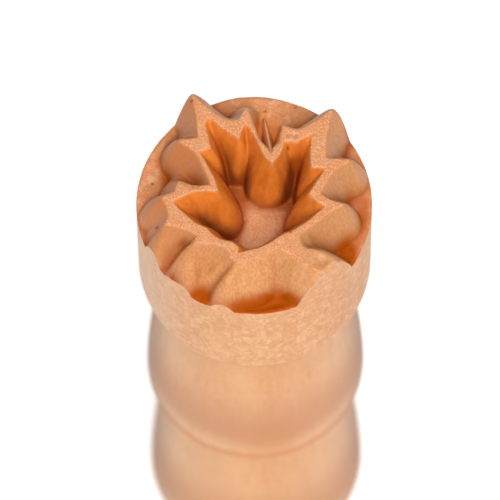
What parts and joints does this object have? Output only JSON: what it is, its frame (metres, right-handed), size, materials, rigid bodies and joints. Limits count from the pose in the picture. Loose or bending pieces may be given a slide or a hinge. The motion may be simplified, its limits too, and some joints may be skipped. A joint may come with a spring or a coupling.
{
  "type": "wooden hand stamp",
  "caption": "Turned wooden hand stamp with a beaded grip and a leaf in deep relief on its end grain, for pressing a print into a soft or inked surface.",
  "frame": {"origin": "centre of the flat foot that the stamp stands on", "axes": "+Z along the turning axis towards the carved face, +Y towards the tip of the leaf's middle lobe, +X to the right when the carved face is read from above"},
  "size_m": [0.025, 0.025, 0.0787],
  "materials": {
    "carved_head": "bare fine-sanded maple, darker end grain in the cuts",
    "turned_grip": "bare fine-sanded maple",
    "dowel_pin": "bare planed hardwood"
  },
  "bodies": {
    "root": {"stamp_head": "carved_head", "handle": "turned_grip", "joint_dowel": "dowel_pin"}
  },
  "joints": []
}
